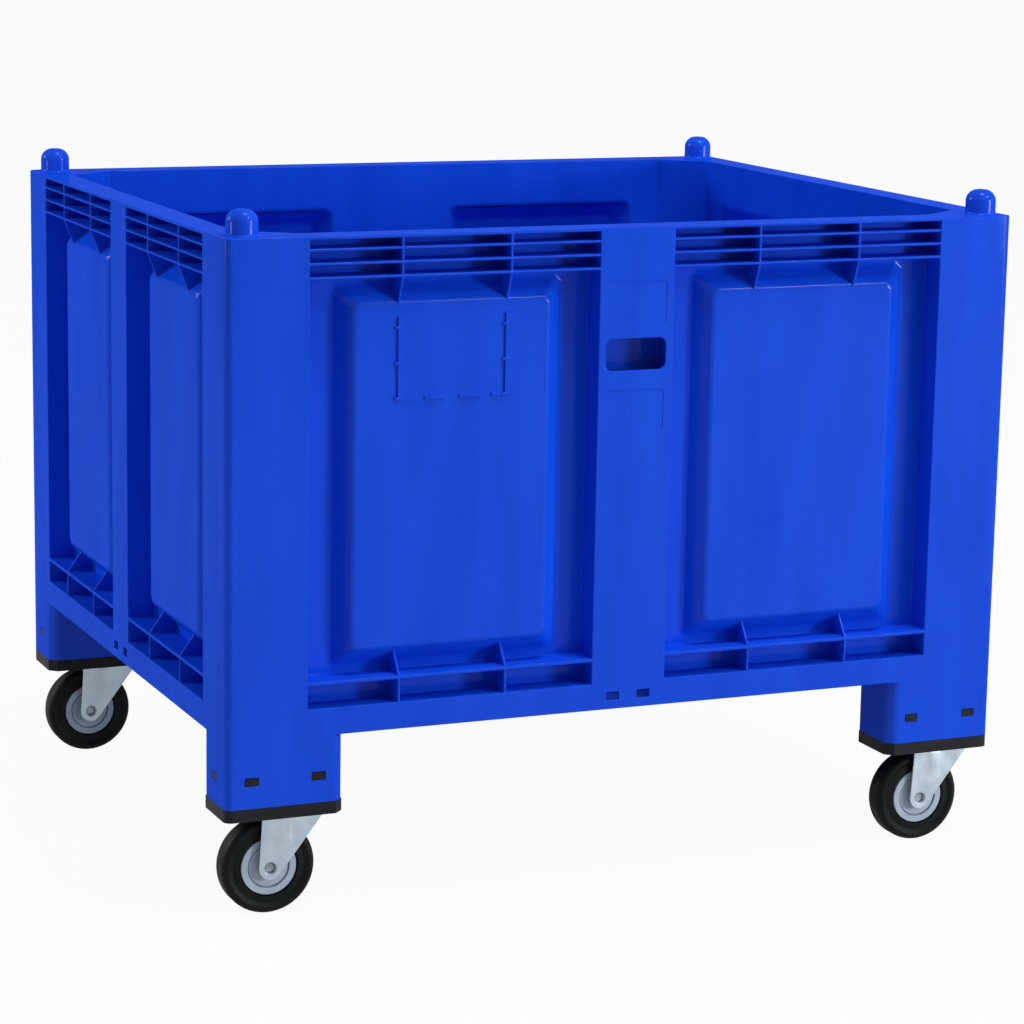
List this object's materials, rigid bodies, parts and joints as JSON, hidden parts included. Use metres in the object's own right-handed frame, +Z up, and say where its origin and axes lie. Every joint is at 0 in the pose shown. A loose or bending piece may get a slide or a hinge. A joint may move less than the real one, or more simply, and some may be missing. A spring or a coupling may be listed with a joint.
{
  "type": "wheeled plastic bin",
  "caption": "Open moulded plastic box with ribbed rim, raised wall panels, stacking pegs and hollow feet on swivel casters, for moving picked fruit and other loose goods.",
  "frame": {"origin": "on the floor under the middle of the bin", "axes": "+X along the long side, -Y out of the front wall with the label holder, +Z up"},
  "size_m": [1.2, 1, 0.979],
  "materials": {
    "bin_plastic": "slightly glossy moulded polyethylene, blue",
    "insert_plastic": "black moulded plastic",
    "zinc_steel": "bright zinc plating",
    "hub_plastic": "light grey moulded plastic",
    "tyre_rubber": "black rubber"
  },
  "bodies": {
    "bin": {"back_left_corner_post": "bin_plastic", "back_left_foot": "bin_plastic", "back_left_foot_insert": "insert_plastic", "back_right_corner_post": "bin_plastic", "back_right_foot": "bin_plastic", "back_right_foot_insert": "insert_plastic", "back_wall": "bin_plastic", "deck": "bin_plastic", "front_left_corner_post": "bin_plastic", "front_left_foot": "bin_plastic", "front_left_foot_insert": "insert_plastic", "front_right_corner_post": "bin_plastic", "front_right_foot": "bin_plastic", "front_right_foot_insert": "insert_plastic", "front_wall": "bin_plastic", "kingpins": "zinc_steel", "left_wall": "bin_plastic", "right_wall": "bin_plastic", "top_plates": "zinc_steel"},
    "front_left_swivel_fork": {"front_left_fork": "zinc_steel", "front_left_axle_sleeve": "zinc_steel"},
    "front_left_wheel": {"front_left_wheel_hub": "hub_plastic", "front_left_tyre": "tyre_rubber"},
    "front_right_swivel_fork": {"front_right_fork": "zinc_steel", "front_right_axle_sleeve": "zinc_steel"},
    "front_right_wheel": {"front_right_wheel_hub": "hub_plastic", "front_right_tyre": "tyre_rubber"},
    "back_left_swivel_fork": {"back_left_fork": "zinc_steel", "back_left_axle_sleeve": "zinc_steel"},
    "back_left_wheel": {"back_left_wheel_hub": "hub_plastic", "back_left_tyre": "tyre_rubber"},
    "back_right_swivel_fork": {"back_right_fork": "zinc_steel", "back_right_axle_sleeve": "zinc_steel"},
    "back_right_wheel": {"back_right_wheel_hub": "hub_plastic", "back_right_tyre": "tyre_rubber"}
  },
  "joints": [
    {"name": "front_left_swivel", "type": "hinge", "parent": "bin", "child": "front_left_swivel_fork", "pos_m": [-0.49, -0.45, 0.1477], "axis": [0, 0, 1], "continuous": true},
    {"name": "front_left_roll", "type": "hinge", "parent": "front_left_swivel_fork", "child": "front_left_wheel", "pos_m": [-0.526, -0.45, 0.0675], "axis": [0, 1, 0], "continuous": true},
    {"name": "front_right_swivel", "type": "hinge", "parent": "bin", "child": "front_right_swivel_fork", "pos_m": [0.538, -0.45, 0.1477], "axis": [0, 0, 1], "continuous": true},
    {"name": "front_right_roll", "type": "hinge", "parent": "front_right_swivel_fork", "child": "front_right_wheel", "pos_m": [0.502, -0.45, 0.0675], "axis": [0, 1, 0], "continuous": true},
    {"name": "back_left_swivel", "type": "hinge", "parent": "bin", "child": "back_left_swivel_fork", "pos_m": [-0.49, 0.45, 0.1477], "axis": [0, 0, 1], "continuous": true},
    {"name": "back_left_roll", "type": "hinge", "parent": "back_left_swivel_fork", "child": "back_left_wheel", "pos_m": [-0.526, 0.45, 0.0675], "axis": [0, 1, 0], "continuous": true},
    {"name": "back_right_swivel", "type": "hinge", "parent": "bin", "child": "back_right_swivel_fork", "pos_m": [0.538, 0.45, 0.1477], "axis": [0, 0, 1], "continuous": true},
    {"name": "back_right_roll", "type": "hinge", "parent": "back_right_swivel_fork", "child": "back_right_wheel", "pos_m": [0.502, 0.45, 0.0675], "axis": [0, 1, 0], "continuous": true}
  ]
}
